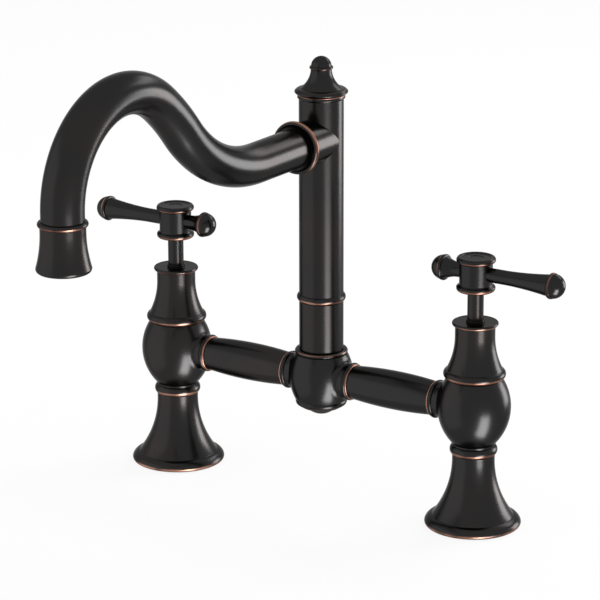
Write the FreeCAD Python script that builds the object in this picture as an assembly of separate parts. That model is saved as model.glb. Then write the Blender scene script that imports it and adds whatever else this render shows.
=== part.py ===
import FreeCAD, Part
import math
import os

os.makedirs("parts", exist_ok=True)
V = FreeCAD.Vector

# A bridge sink mixer: two pillars carry valves and lever handles, two arms join them to a
# centre body, and a column with a swan-neck spout swivels on the centre body.
# Frame: millimetres, +Z up, origin on the deck midway between the two feet. The pillars
# stand on the X axis and the spout points along -Y.

# ---- Driving dimensions ----

# layout
pillar_spacing = 203.0      # inlet to inlet, 8 inches
bridge_z = 70.0             # axis of the bridge arms, and the belly of both bodies
fit = 0.05                  # radial gap of a screwed or running fit
gap = 0.3                   # gap between faces that turn past each other
waterway_r = 6.0
soft_edge = 0.3             # bow of a softly rounded turned edge

# foot, a hollow bell
foot_r = 27.25
foot_base_in = 1.85         # from the widest line in to the edge on the deck
foot_rim_z = 2.6            # widest line
foot_rim_under = 0.7        # bow of the rim below its widest line
foot_rim_over = 0.75        # bow of the rim above it
foot_crease_z = 6.0         # where the bell meets the rim
foot_bell_bend = 54.5
foot_waist_r = 12.0
foot_waist_z = 39.0
foot_bead_h = 5.6
foot_bead_out = 1.46
foot_top = 47.8
foot_wall = 2.4
foot_cavity_r = 20.0
gasket_w = 3.2
gasket_h = 1.2

# inlet bush inside the foot
inlet_r = 9.75              # minor radius of a half-inch straight pipe thread
inlet_depth = 16.0
bush_wall = 2.5
bush_taper = 4.5
shank_r = 9.45
shank_grip = 6.7            # length screwed into the valve body

# valve body, ball shaped
ball_r = 20.65
ball_bend = 30.6
chamber_floor = 3.0         # above the end of the shank
body_thread_h = 5.0
port_wall = 2.0

# bonnet over the cartridge
bonnet_z = 86.8
bonnet_bead_h = 5.2
bonnet_bead_r = 17.55
bonnet_waist_r = 11.25
bonnet_waist_z = 111.0
bonnet_bend = 42.0
bonnet_top = 117.2
bonnet_wall = 1.25          # round the top of the valve body's thread

# cartridge
washer_h = 2.0
washer_w = 3.0
cartridge_r = 9.2
cartridge_wall = 1.55
cartridge_flange_step = 2.0 # from the valve body's thread in to the flange
cartridge_flange_h = 3.5
cartridge_neck_r = 8.55
cartridge_neck_h = 16.0
cartridge_cup_h = 23.0      # height of the cup that holds the discs
window_r = 4.5
disc_h = 2.5
disc_port_r = 2.1
disc_port_offset = 4.0

# gland flange and spindle
gland_r = 13.0
gland_h = 2.4
gland_lip = 0.2             # overhang beyond the bonnet's waist
gland_round = 0.5           # from the widest line in to the top edge
gland_rim_w = 0.5
gland_rim_h = 0.15
gland_boss_r = 5.3
gland_boss_h = 1.2
stem_r = 4.55
driver_r = 3.5
driver_collar_r = 6.4
driver_collar_h = 2.0
spline_r = 4.0
spline_h = 8.0

# handle
hub_z = 138.2
hub_r = 9.3
hub_flange_r = 10.85
hub_flange_h = 2.4
hub_flange_round = 0.8
hub_fillet = 1.2
hub_top = 152.9
hub_sleeve = 3.3            # depth of the hub's bore over the plain stem
lever_z = 147.5
cap_spigot_r = 6.0
cap_spigot_h = 1.9
cap_r = 10.95
cap_h = 4.1
cap_foot = 0.4              # overhang beyond the hub's barrel
cap_foot_h = 0.9
cap_round = 1.1             # from the widest line in to the top edge
cap_round_h = 1.2
cap_rim_w = 1.8
cap_dish_h = 0.45
cap_eye_r = 4.4             # sunk round the middle of the dish
cap_eye_h = 0.3
stud_r = 3.0
stud_inner = 5.2            # the studs stop this far from the spindle's axis
grub_r = 2.0
grub_key_r = 1.0
grub_sunk = 0.6

# lever and counter knob, turned about a level axis
lever_neck_r = 3.83
lever_straight = 20.0
lever_hollow = 0.5          # how far the taper curves in
lever_end_r = 6.05
lever_ring_x = 48.0
ring_r = 7.3
ring_w = 2.4
ring_round = 0.7
lever_ball_r = 6.45
lever_ball_step = 0.9       # ball centre beyond its ring
tenon_r = 2.4
tenon_h = 6.0
knob_neck_r = 4.0
knob_straight = 11.0
knob_hollow = 0.6
knob_end_r = 6.2
knob_ring_x = 20.3
knob_ball_r = 6.4

# bridge arms and their rings
arm_end_r = 9.6
arm_mid_r = 11.0
spigot_r = 8.2
collar_r = 10.95
collar_w = 3.4
collar_bead_out = 0.9
collar_lip_r = 10.35
collar_lip_w = 0.9
collar_lip_round = 0.4
centre_neck_x = 19.6        # face of the centre body's side neck
pillar_neck_x = 22.2        # face of the valve body's side neck, from the pillar's axis
side_neck_r = 10.0
side_neck_flare = 2.0
side_neck_hollow = 0.7
side_neck_root = 0.75       # start of the flare, as a share of the belly's radius
centre_port_wall = 3.7      # between the swivel's bore and an arm's socket

# centre body
centre_r = 18.3
centre_bend = 29.6
centre_top = 86.8
centre_rim_out = 2.5        # beyond the column
centre_rim_h = 2.4
centre_rim_under = 0.7
centre_rim_round = 1.3
centre_bottom = 53.2
centre_bead_r = 15.0
centre_bead_h = 3.3
centre_bead_under = 1.4
centre_bead_over = 0.5
centre_bead_bow = 0.75
centre_groove_h = 0.3       # line between the belly and what is next to it
column_socket = 5.8
plug_r = 9.5
plug_grip = 6.0
plug_flange_r = 12.6
plug_flange_h = 1.6
plug_flange_round = 1.8
plug_dome_r = 9.0
plug_dome_h = 4.3

# column
column_r = 12.7             # 1 inch tube
column_wall = 1.7
seam_z = 115.4              # top of the fixed column, where the spout turns
seam_bead_h = 4.0
seam_bead_foot = 0.3        # beyond the column
seam_bead_out = 1.0
swivel_bush_w = 1.2
swivel_foot = 4.0           # length held in the centre body below the column's socket
swivel_grip = 31.0          # length of the bush above the seam's bead
ring_section_r = 0.88
ring_groove_w = 2.4
ring_pitch = 11.0
clip_w = 1.2
clip_depth = 0.8
clip_out = 0.7
column_top = 232.8

# finial
finial_spigot_h = 10.0
finial_ring_out = 0.85      # beyond the column
finial_ring_h = 3.2
finial_flange_out = 2.3     # beyond the column
finial_flange_h = 3.4
finial_flange_under = 1.3
finial_flange_bow = 0.6
finial_step_in = 0.9        # from the column's radius in to the foot of the bell
finial_waist_r = 5.9
finial_bead_r = 6.7
finial_bead_z = 251.2
finial_bead_h = 1.9
finial_dome_r = 5.8
finial_dome_h = 5.5

# spout
spout_z = 210.6             # axis where it leaves the column
spout_reach = 239.7
tube_r = 11.1               # 7/8 inch tube
tube_wall = 1.5
spout_rise_bend = 92.1
spout_rise_deg = 49.3
spout_shoulder_bend = 142.3
spout_shoulder_deg = 11.5
spout_crook_bend = 51.6
boss_wall = 1.55            # round the tube
boss_length = 11.7          # beyond the column's side
tube_grip = 9.4             # length of tube inside the boss
spout_ring_out = 2.15       # beyond the boss
spout_ring_w = 4.0
spout_ring_foot = 0.5
spout_ring_belly = 1.2      # widest line, from the boss
spout_ring_round = 1.1
spout_ring_lip = 0.8
spout_ring_well_w = 0.9
spout_ring_well_h = 1.3

# outlet
outlet_rim_z = 191.2
outlet_lip_out = 3.2        # beyond the tube
outlet_lip_h = 2.1
outlet_lip_w = 1.9          # from the widest line in to the mouth
outlet_lip_flat = 0.6
outlet_lip_bow = 0.6
outlet_neck_z = 212.0
outlet_neck_wall = 0.5      # over the tube
outlet_bead_lift = 3.2      # above the neck
outlet_bead_h = 2.9
outlet_bead_under = 0.2
outlet_bead_over = 0.35
outlet_bead_out = 1.8       # beyond the tube
outlet_mouth_h = 4.6
aerator_step = 1.0          # from the tube's radius in to the aerator's
aerator_wall = 1.1
aerator_ledge = 1.2
aerator_chamfer = 0.4
aerator_h = 9.6
aerator_hole_r = 0.8
aerator_hole_pitch = 2.4
aerator_washer_w = 2.5
aerator_washer_h = 1.6

# ---- Curves of the turned pieces ----

def flare(waist_r, waist_z, bend, z):
    """Radius at z of a concave curve that is upright at its waist."""
    return waist_r + bend - math.sqrt(bend ** 2 - (z - waist_z) ** 2)


def swell(belly_r, belly_z, bend, z):
    """Radius at z of a convex curve that is upright at its belly."""
    return belly_r - bend + math.sqrt(bend ** 2 - (z - belly_z) ** 2)


def swell_height(belly_r, bend, r):
    """Height above the belly at which a convex curve has come in to the radius r."""
    return math.sqrt(bend ** 2 - (bend - belly_r + r) ** 2)


# ---- Derived sizes ----

pillar_x = pillar_spacing / 2
gasket_middle_r = (foot_cavity_r + foot_r - foot_base_in) / 2
gasket_outer_r = gasket_middle_r + gasket_w / 2
gasket_inner_r = gasket_middle_r - gasket_w / 2
shank_top = foot_top + shank_grip
chamber_z = shank_top + chamber_floor
cartridge_z = chamber_z + washer_h
roof_z = cartridge_z + cartridge_cup_h
body_top = bonnet_z + body_thread_h
cartridge_neck_z = body_top + cartridge_flange_h
bonnet_thread_z = cartridge_neck_z + fit
bonnet_thread_r = flare(
    bonnet_waist_r, bonnet_waist_z, bonnet_bend, bonnet_thread_z) - bonnet_wall
body_thread_r = bonnet_thread_r - fit
cartridge_flange_r = body_thread_r - cartridge_flange_step
cartridge_top = cartridge_neck_z + cartridge_neck_h
disc_r = cartridge_r - cartridge_wall - fit
moving_disc_z = cartridge_z + disc_h + 0.5 * gap
gland_top = bonnet_top + gland_h
hub_stem_top = hub_z + hub_sleeve
column_bore = column_r - column_wall
swivel_r = column_bore - swivel_bush_w
centre_rim_r = column_r + centre_rim_out
socket_floor = centre_top - column_socket
swing_z = seam_z + gap                       # lowest face of what turns with the spout
bush_z = swing_z + seam_bead_h
bush_top = bush_z + swivel_grip
finial_flange_r = column_r + finial_flange_out
boss_r = tube_r + boss_wall
boss_end = column_r + boss_length
spout_ring_r = boss_r + spout_ring_out
tube_bore = tube_r - tube_wall
aerator_r = tube_r - aerator_step
aerator_z = outlet_rim_z + outlet_mouth_h
tube_end_z = aerator_z + aerator_h + aerator_washer_h
arm_x0 = centre_neck_x + collar_w
arm_x1 = pillar_x - pillar_neck_x - collar_w
arm_socket_x0 = swivel_r + fit + centre_port_wall
arm_socket_x1 = pillar_x - cartridge_r - fit - port_wall


# ---- Outlines ----

def bow(a, b, height):
    """Middle of an arc from a to b that bulges by height to the right of the way a to b."""
    dr, dz = b[0] - a[0], b[1] - a[1]
    length = math.hypot(dr, dz)
    return ((a[0] + b[0]) / 2 + height * dz / length, (a[1] + b[1]) / 2 - height * dr / length)


def along(curve, z0, z1):
    """Arc step that follows curve(z) from z0 to z1."""
    middle = (z0 + z1) / 2
    return ((curve(middle), middle), (curve(z1), z1))


def arc_to(a, b, height):
    """Arc step from a to b with the given bow."""
    return (bow(a, b, height), b)


def crown(r, z, height):
    """Middle of the arc of a ball-shaped cap, from (r, z) to its tip on the axis."""
    bend = (r ** 2 + height ** 2) / (2 * abs(height))
    centre = z + height - math.copysign(bend, height)
    middle = (math.atan2(z - centre, r) + math.copysign(math.pi / 2, height)) / 2
    return (bend * math.cos(middle), centre + bend * math.sin(middle))


def turned(start, *steps):
    """Solid of revolution about Z. A step is a point (r, z), or an arc's (middle, end)."""
    edges = []
    here = start
    for step in steps + (start,):
        is_arc = isinstance(step[0], tuple)
        end = step[1] if is_arc else step
        if math.dist(here, end) < 1e-7:
            continue
        a, b = V(here[0], 0, here[1]), V(end[0], 0, end[1])
        if is_arc:
            edges.append(Part.Arc(a, V(step[0][0], 0, step[0][1]), b).toShape())
        else:
            edges.append(Part.LineSegment(a, b).toShape())
        here = end
    return Part.Face(Part.Wire(edges)).revolve(V(0, 0, 0), V(0, 0, 1), 360)


def rod(r, z0, z1):
    return Part.makeCylinder(r, z1 - z0, V(0, 0, z0))


def pipe(r_out, r_in, z0, z1):
    return rod(r_out, z0, z1).cut(rod(r_in, z0, z1))


def lay_x(shape):
    """Turn a shape made about Z so that its axis lies along +X."""
    laid = shape.copy()
    laid.rotate(V(0, 0, 0), V(0, 1, 0), 90)
    return laid


def lay_out(shape, z):
    """Turn a shape made about Z so that its axis lies along -Y, at height z."""
    laid = shape.copy()
    laid.rotate(V(0, 0, 0), V(1, 0, 0), 90)
    laid.translate(V(0, 0, z))
    return laid


def moved(shape, x, y, z):
    copy = shape.copy()
    copy.translate(V(x, y, z))
    return copy


def save(node, shape):
    if not shape.isValid():
        print("not valid:", node)
    shape.exportStep("parts/%s.step" % node)


def save_pair(node, shape):
    """Save the piece of the right pillar, and its mirror image for the left one."""
    placed = moved(shape, pillar_x, 0, 0)
    save("right_" + node, placed)
    save("left_" + node, placed.mirror(V(0, 0, 0), V(1, 0, 0)))


# ---- Feet and inlets, about the pillar's axis ----

def foot():
    def bell(z):
        return flare(foot_waist_r, foot_waist_z, foot_bell_bend, z)

    def inner_bell(z):
        return flare(foot_waist_r - foot_wall, foot_waist_z, foot_bell_bend + foot_wall, z)

    base = (foot_r - foot_base_in, 0)
    widest = (foot_r, foot_rim_z)
    crease = (bell(foot_crease_z), foot_crease_z)
    bead_low = (foot_waist_r, foot_top - foot_bead_h)
    outside = turned(
        (0, 0), base, arc_to(base, widest, foot_rim_under),
        arc_to(widest, crease, foot_rim_over),
        along(bell, foot_crease_z, foot_waist_z),
        bead_low,
        arc_to(bead_low, (foot_waist_r, foot_top), foot_bead_out),
        (0, foot_top))
    inner_bend = foot_bell_bend + foot_wall
    inner_waist = foot_waist_r - foot_wall
    cavity_z = foot_waist_z - math.sqrt(
        inner_bend ** 2 - (inner_waist + inner_bend - foot_cavity_r) ** 2)
    cavity = turned(
        (0, -1), (foot_cavity_r, -1), (foot_cavity_r, cavity_z),
        along(inner_bell, cavity_z, foot_waist_z),
        (0, foot_waist_z))
    seat = pipe(gasket_outer_r + fit, gasket_inner_r - fit, -1, gasket_h)
    return outside.cut(cavity).cut(rod(shank_r + fit, 0, foot_top)).cut(seat)


def foot_gasket():
    return pipe(gasket_outer_r, gasket_inner_r, 0, gasket_h)


def inlet_bush():
    """Threaded socket flush with the deck, and the shank that holds foot and body together."""
    socket_r = inlet_r + bush_wall
    socket_top = inlet_depth + bush_wall
    return turned(
        (inlet_r, 0), (socket_r, 0), (socket_r, socket_top),
        (shank_r, socket_top + bush_taper), (shank_r, shank_top), (waterway_r, shank_top),
        (waterway_r, inlet_depth + inlet_r - waterway_r), (inlet_r, inlet_depth))


# ---- Valve, about the pillar's axis, with the bridge towards -X ----

def ball(z):
    return swell(ball_r, bridge_z, ball_bend, z)


def side_neck(face, belly_r):
    """Neck along +X that grows out of a body's belly and ends in a flat face."""
    root = belly_r * side_neck_root
    start = (side_neck_r + side_neck_flare, root)
    end = (side_neck_r, face)
    neck = turned((0, root), start, arc_to(start, end, -side_neck_hollow), (0, face))
    return moved(lay_x(neck), 0, 0, bridge_z)


def bridge_bore(r, x0, x1):
    """Level bore along +X at the bridge's height."""
    return moved(lay_x(rod(r, x0, x1)), 0, 0, bridge_z)


def valve_body():
    neck_top = bridge_z - swell_height(ball_r, ball_bend, foot_waist_r)
    outside = turned(
        (0, foot_top), (foot_waist_r, foot_top), (foot_waist_r, neck_top),
        along(ball, neck_top, bridge_z),
        along(ball, bridge_z, bonnet_z),
        (body_thread_r, bonnet_z), (body_thread_r, body_top), (0, body_top))
    socket_start = pillar_x - arm_socket_x1
    neck = side_neck(pillar_neck_x, ball_r)
    neck = neck.fuse(bridge_bore(side_neck_r, 0, pillar_neck_x))
    body = outside.fuse(neck.mirror(V(0, 0, 0), V(1, 0, 0)))
    body = body.cut(rod(shank_r + fit, foot_top, shank_top))
    body = body.cut(rod(waterway_r, shank_top, chamber_z))
    body = body.cut(rod(cartridge_r + fit, chamber_z, body_top))
    port = bridge_bore(waterway_r, 0, socket_start)
    socket = bridge_bore(spigot_r + fit, socket_start, pillar_neck_x)
    for bore in (port, socket):
        body = body.cut(bore.mirror(V(0, 0, 0), V(1, 0, 0)))
    return body.removeSplitter()


def seat_washer():
    return pipe(cartridge_r, cartridge_r - washer_w, chamber_z, cartridge_z)


def cartridge():
    shell = turned(
        (0, cartridge_z), (cartridge_r, cartridge_z), (cartridge_r, body_top),
        (cartridge_flange_r, body_top), (cartridge_flange_r, cartridge_neck_z),
        (cartridge_neck_r, cartridge_neck_z), (cartridge_neck_r, cartridge_top),
        (0, cartridge_top))
    shell = shell.cut(rod(disc_r + fit, cartridge_z, roof_z))
    shell = shell.cut(rod(driver_r + fit, roof_z, cartridge_top))
    window = bridge_bore(window_r, -2 * cartridge_r, 2 * cartridge_r)
    across = window.copy()
    across.rotate(V(0, 0, 0), V(0, 0, 1), 90)
    return shell.cut(window).cut(across)


def ported_disc(z, degrees):
    """Ceramic disc with two ports, turned about its axis."""
    disc = rod(disc_r, z, z + disc_h)
    for side in (-1, 1):
        turn = math.radians(degrees)
        offset = side * disc_port_offset
        port = moved(rod(disc_port_r, z, z + disc_h),
                     offset * math.cos(turn), offset * math.sin(turn), 0)
        disc = disc.cut(port)
    return disc


def bonnet():
    def bell(z):
        return flare(bonnet_waist_r, bonnet_waist_z, bonnet_bend, z)

    bead_top = bonnet_z + bonnet_bead_h
    low = (ball(bonnet_z), bonnet_z)
    high = (bell(bead_top), bead_top)
    bead_out = bonnet_bead_r - (low[0] + high[0]) / 2
    outside = turned(
        (0, bonnet_z), low, arc_to(low, high, bead_out),
        along(bell, bead_top, bonnet_waist_z),
        (bonnet_waist_r, bonnet_top), (0, bonnet_top))
    thread = rod(bonnet_thread_r, bonnet_z, bonnet_thread_z)
    return outside.cut(thread).cut(rod(cartridge_neck_r + gap, bonnet_z, bonnet_top))


def gland_flange():
    spigot_z = cartridge_top + gap
    spigot_top_r = cartridge_neck_r + gap - fit
    under = (bonnet_waist_r + gland_lip, bonnet_top)
    edge = (gland_r, bonnet_top + gland_h / 2)
    rim = (gland_r - gland_round, gland_top)
    rim_in = rim[0] - gland_rim_w
    face_z = gland_top - gland_rim_h
    boss_top = gland_top + gland_boss_h
    body = turned(
        (0, spigot_z), (spigot_top_r, spigot_z), (spigot_top_r, bonnet_top), under,
        arc_to(under, edge, soft_edge), arc_to(edge, rim, soft_edge),
        (rim_in, gland_top), (rim_in - gland_rim_h, face_z),
        (gland_boss_r + gland_rim_h, face_z), (gland_boss_r, gland_top),
        (gland_boss_r, boss_top), (0, boss_top))
    return body.cut(rod(stem_r + fit, spigot_z, boss_top))


# ---- Handle, about the pillar's axis, with the lever towards +X ----

def spindle():
    disc_top = moving_disc_z + disc_h
    shoulder_z = cartridge_top + gap
    collar_top = roof_z - gap
    collar_z = collar_top - driver_collar_h
    return turned(
        (0, disc_top), (driver_r, disc_top), (driver_r, collar_z),
        (driver_collar_r, collar_z), (driver_collar_r, collar_top), (driver_r, collar_top),
        (driver_r, shoulder_z), (stem_r, shoulder_z), (stem_r, hub_stem_top),
        (spline_r, hub_stem_top), (spline_r, hub_stem_top + spline_h),
        (0, hub_stem_top + spline_h))


def hub():
    flange_edge = (hub_flange_r, hub_z + hub_flange_h / 2)
    flange_low = (hub_flange_r - hub_flange_round, hub_z)
    flange_high = (hub_flange_r - hub_flange_round, hub_z + hub_flange_h)
    barrel_low = (hub_r, hub_z + hub_flange_h + hub_fillet)
    spigot_z = hub_top - cap_spigot_h
    body = turned(
        (0, hub_z), flange_low, arc_to(flange_low, flange_edge, soft_edge),
        arc_to(flange_edge, flange_high, soft_edge),
        arc_to(flange_high, barrel_low, -soft_edge),
        (hub_r, hub_top), (0, hub_top))
    body = body.cut(rod(stem_r + fit, hub_z, hub_stem_top))
    body = body.cut(rod(spline_r + fit, hub_stem_top, spigot_z))
    body = body.cut(rod(cap_spigot_r + fit, spigot_z, hub_top))
    body = body.cut(moved(lay_x(rod(stud_r + fit, -2 * hub_r, 2 * hub_r)), 0, 0, lever_z))
    return body.cut(grub_bore(grub_r + fit, spline_r, 2 * hub_r))


def grub_bore(r, y0, y1):
    """Level bore at the back of the hub, along +Y, at the studs' height."""
    bore = rod(r, y0, y1)
    bore.rotate(V(0, 0, 0), V(1, 0, 0), -90)
    bore.translate(V(0, 0, lever_z))
    return bore


def grub_screw():
    inner = spline_r + fit
    outer = hub_r - grub_sunk
    screw = grub_bore(grub_r, inner, outer)
    return screw.cut(grub_bore(grub_key_r, outer - grub_r, outer))


def hub_cap():
    spigot_z = hub_top - cap_spigot_h + fit
    top = hub_top + cap_h
    foot_low = (hub_r + cap_foot, hub_top)
    foot_high = (hub_r + cap_foot, hub_top + cap_foot_h)
    edge = (cap_r, top - cap_round_h)
    rim = (cap_r - cap_round, top)
    dish_r = rim[0] - cap_rim_w
    dish_z = top - cap_dish_h
    return turned(
        (0, spigot_z), (cap_spigot_r, spigot_z), (cap_spigot_r, hub_top), foot_low,
        foot_high, arc_to(foot_high, edge, -soft_edge), arc_to(edge, rim, soft_edge),
        (dish_r + cap_dish_h, top), (dish_r, dish_z),
        (cap_eye_r, dish_z), (cap_eye_r - cap_eye_h, dish_z - cap_eye_h),
        (0, dish_z - cap_eye_h))


def saddled(shape):
    """A turned piece at the lever's height, with its root cut to the hub's barrel."""
    level = moved(lay_x(shape), 0, 0, lever_z)
    return level.cut(rod(hub_r, hub_z, hub_top))


def stud():
    return moved(lay_x(rod(stud_r, stud_inner, hub_r + stud_r)), 0, 0, lever_z)


def lever():
    ring_face = lever_ring_x - ring_w / 2
    swept = turned(
        (0, hub_r / 2), (lever_neck_r, hub_r / 2), (lever_neck_r, lever_straight),
        arc_to((lever_neck_r, lever_straight), (lever_end_r, ring_face), -lever_hollow),
        (0, ring_face))
    body = saddled(swept).fuse(stud())
    tenon_hole = lay_x(rod(tenon_r + fit, ring_face - tenon_h - fit, ring_face))
    return body.cut(moved(tenon_hole, 0, 0, lever_z))


def ringed_ball(ring_x, ball_radius, ball_step):
    """Outline steps of a ring and the ball that rounds it off, from the ring's near face."""
    near = ring_x - ring_w / 2
    far = ring_x + ring_w / 2
    centre = ring_x + ball_step
    join_r = math.sqrt(ball_radius ** 2 - (far - centre) ** 2)
    height = centre + ball_radius - far
    ring_low = (ring_r - ring_round, near)
    ring_edge = (ring_r, ring_x)
    return [
        ring_low, arc_to(ring_low, ring_edge, soft_edge),
        arc_to(ring_edge, (join_r, far), soft_edge),
        (crown(join_r, far, height), (0, far + height))]


def lever_end():
    near = lever_ring_x - ring_w / 2
    steps = ringed_ball(lever_ring_x, lever_ball_r, lever_ball_step)
    body = turned((0, near), *steps)
    return moved(lay_x(body.fuse(rod(tenon_r, near - tenon_h, near))), 0, 0, lever_z)


def counter_knob():
    near = knob_ring_x - ring_w / 2
    steps = ringed_ball(knob_ring_x, knob_ball_r, lever_ball_step)
    start = (knob_neck_r, knob_straight)
    body = turned(
        (0, hub_r / 2), (knob_neck_r, hub_r / 2), start,
        arc_to(start, (knob_end_r, near), -knob_hollow), *steps)
    return saddled(body).fuse(stud()).mirror(V(0, 0, 0), V(1, 0, 0))


# ---- Bridge arms along +X, placed at the bridge's height ----

def bridge_arm():
    near = (arm_end_r, arm_x0)
    far = (arm_end_r, arm_x1)
    barrel = turned(
        (0, arm_x0), near, arc_to(near, far, arm_mid_r - arm_end_r), (0, arm_x1))
    barrel = barrel.fuse(rod(spigot_r, arm_socket_x0, arm_socket_x1))
    barrel = barrel.cut(rod(waterway_r, arm_socket_x0, arm_socket_x1))
    return moved(lay_x(barrel), 0, 0, bridge_z)


def arm_collar(seat_x, arm_side):
    """Ring between a body's neck at seat_x and the arm, which lies towards arm_side."""
    bead_w = collar_w - collar_lip_w
    bead_low = (collar_r - collar_bead_out, 0)
    bead_high = (collar_r - collar_bead_out, bead_w)
    lip_low = (collar_lip_r, bead_w)
    lip_high = (collar_lip_r - collar_lip_round, collar_w)
    ring = turned(
        (spigot_r + fit, 0), bead_low, arc_to(bead_low, bead_high, collar_bead_out),
        lip_low, arc_to(lip_low, lip_high, soft_edge), (spigot_r + fit, collar_w))
    if arm_side < 0:
        ring = ring.mirror(V(0, 0, 0), V(0, 0, 1))
    return moved(lay_x(ring), seat_x, 0, bridge_z)


# ---- Centre body and column, about Z ----

def centre_body():
    def belly(z):
        return swell(centre_r, bridge_z, centre_bend, z)

    rim_z = centre_top - centre_rim_h
    bead_top = centre_bottom + centre_bead_h
    bead_low = (centre_bead_r - centre_bead_under, centre_bottom)
    bead_high = (centre_bead_r - centre_bead_over, bead_top)
    rim_low = (centre_rim_r - centre_rim_under, rim_z)
    rim_edge = (centre_rim_r, centre_top - centre_rim_h / 2)
    rim_top = (centre_rim_r - centre_rim_round, centre_top)
    belly_low = bead_top + centre_groove_h
    belly_top = rim_z - centre_groove_h
    outside = turned(
        (0, centre_bottom), bead_low, arc_to(bead_low, bead_high, centre_bead_bow),
        (belly(belly_low), belly_low),
        along(belly, belly_low, bridge_z),
        along(belly, bridge_z, belly_top),
        rim_low, arc_to(rim_low, rim_edge, soft_edge), arc_to(rim_edge, rim_top, soft_edge),
        (0, centre_top))
    neck = side_neck(centre_neck_x, centre_r)
    neck = neck.fuse(bridge_bore(side_neck_r, 0, centre_neck_x))
    body = outside.fuse(neck).fuse(neck.mirror(V(0, 0, 0), V(1, 0, 0)))
    body = body.cut(rod(column_r + fit, socket_floor, centre_top))
    body = body.cut(rod(swivel_r + fit, centre_bottom + plug_grip, socket_floor))
    body = body.cut(rod(plug_r + fit, centre_bottom, centre_bottom + plug_grip))
    body = body.cut(bridge_bore(waterway_r, -centre_neck_x, centre_neck_x))
    socket = bridge_bore(spigot_r + fit, arm_socket_x0, centre_neck_x)
    return body.cut(socket).cut(socket.mirror(V(0, 0, 0), V(1, 0, 0))).removeSplitter()


def bottom_plug():
    flange_z = centre_bottom - plug_flange_h
    edge = (plug_flange_r, centre_bottom)
    under = (plug_flange_r - plug_flange_round, flange_z)
    dome = crown(plug_dome_r, flange_z, -plug_dome_h)
    plug_top = centre_bottom + plug_grip - fit
    return turned(
        (0, flange_z - plug_dome_h), (dome, (plug_dome_r, flange_z)),
        under, arc_to(under, edge, soft_edge),
        (plug_r, centre_bottom), (plug_r, plug_top), (waterway_r, plug_top),
        (waterway_r, centre_bottom), (0, centre_bottom))


def lower_column():
    return pipe(column_r, column_bore, socket_floor, seam_z)


def swivel_spigot():
    groove_zs = ring_groove_zs()
    foot_z = socket_floor - swivel_foot
    top = clip_z() + clip_w + gap
    body = pipe(swivel_r, waterway_r, foot_z, top)
    groove_r = swivel_r - 2 * ring_section_r - fit
    for z in groove_zs:
        body = body.cut(pipe(2 * swivel_r, groove_r, z, z + ring_groove_w))
    clip_groove = pipe(2 * swivel_r, swivel_r - clip_depth, clip_z(), clip_z() + clip_w)
    return body.cut(clip_groove)


def ring_groove_zs():
    first = bush_z + (swivel_grip - ring_pitch - ring_groove_w) / 2
    return [first, first + ring_pitch]


def swivel_o_rings():
    middle_r = swivel_r - fit / 2 - ring_section_r
    rings = []
    for z in ring_groove_zs():
        centre = V(0, 0, z + ring_groove_w / 2)
        rings.append(Part.makeTorus(middle_r, ring_section_r - fit / 2, centre))
    return Part.makeCompound(rings)


def clip_z():
    return bush_top + gap


def retaining_clip():
    clip = pipe(swivel_r + clip_out, swivel_r - clip_depth + fit, clip_z(), clip_z() + clip_w)
    mouth = Part.makeBox(swivel_r, 2 * swivel_r, clip_w)
    mouth.translate(V(-swivel_r / 2, 0, clip_z()))
    return clip.cut(mouth)


# ---- Spout assembly, turning about Z ----

def swivel_collar():
    low = (column_r + seam_bead_foot, swing_z)
    high = (column_r + seam_bead_foot, bush_z)
    return turned(
        (column_r, swing_z), low, arc_to(low, high, seam_bead_out), (column_r, bush_z))


def swivel_bush():
    return pipe(column_bore, swivel_r + fit, bush_z, bush_top)


def column_tube():
    tube = pipe(column_r, column_bore, swing_z, column_top)
    return tube.cut(lay_out(rod(tube_bore, 0, 2 * column_r), spout_z))


def finial():
    ring_top = column_top + finial_ring_h
    flange_top = ring_top + finial_flange_h
    ring_low = (column_r, column_top)
    ring_high = (column_r, ring_top)
    flange_low = (finial_flange_r - finial_flange_under, ring_top)
    flange_edge = (finial_flange_r, ring_top + finial_flange_h / 2)
    flange_high = (column_r - finial_step_in, flange_top)
    bead_low = (finial_waist_r, finial_bead_z - finial_bead_h / 2)
    bead_high = (finial_dome_r, finial_bead_z + finial_bead_h / 2)
    bell_h = bead_low[1] - flange_top
    bell_out = flange_high[0] - finial_waist_r
    bell_bend = (bell_h ** 2 + bell_out ** 2) / (2 * bell_out)
    half = math.asin(bell_h / bell_bend) / 2
    bell_middle = (finial_waist_r + bell_bend * (1 - math.cos(half)),
                   bead_low[1] - bell_bend * math.sin(half))
    tip = (0, bead_high[1] + finial_dome_h)
    spigot_z = column_top - finial_spigot_h
    return turned(
        (0, spigot_z), (column_bore - fit, spigot_z), (column_bore - fit, column_top), ring_low,
        arc_to(ring_low, ring_high, finial_ring_out),
        flange_low, arc_to(flange_low, flange_edge, soft_edge),
        arc_to(flange_edge, flange_high, finial_flange_bow),
        (bell_middle, bead_low), arc_to(bead_low, bead_high, finial_bead_r - finial_waist_r),
        (crown(*bead_high, finial_dome_h), tip))


def spout_boss():
    boss = lay_out(rod(boss_r, 0, boss_end), spout_z)
    boss = boss.cut(rod(column_r, spout_z - 2 * boss_r, spout_z + 2 * boss_r))
    boss = boss.cut(lay_out(rod(tube_bore, 0, boss_end), spout_z))
    return boss.cut(lay_out(rod(tube_r + fit, boss_end - tube_grip, boss_end), spout_z))


def spout_ring():
    face = boss_end + spout_ring_w
    back = (boss_r + spout_ring_foot, boss_end)
    edge = (spout_ring_r, boss_end + spout_ring_belly)
    front = (spout_ring_r - spout_ring_round, face)
    inner = tube_r + fit
    well_z = face - spout_ring_well_h
    return lay_out(turned(
        (inner, boss_end), back, arc_to(back, edge, soft_edge), arc_to(edge, front, soft_edge),
        (front[0] - spout_ring_lip, face), (inner + spout_ring_well_w, well_z),
        (inner, well_z)), spout_z)


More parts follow.
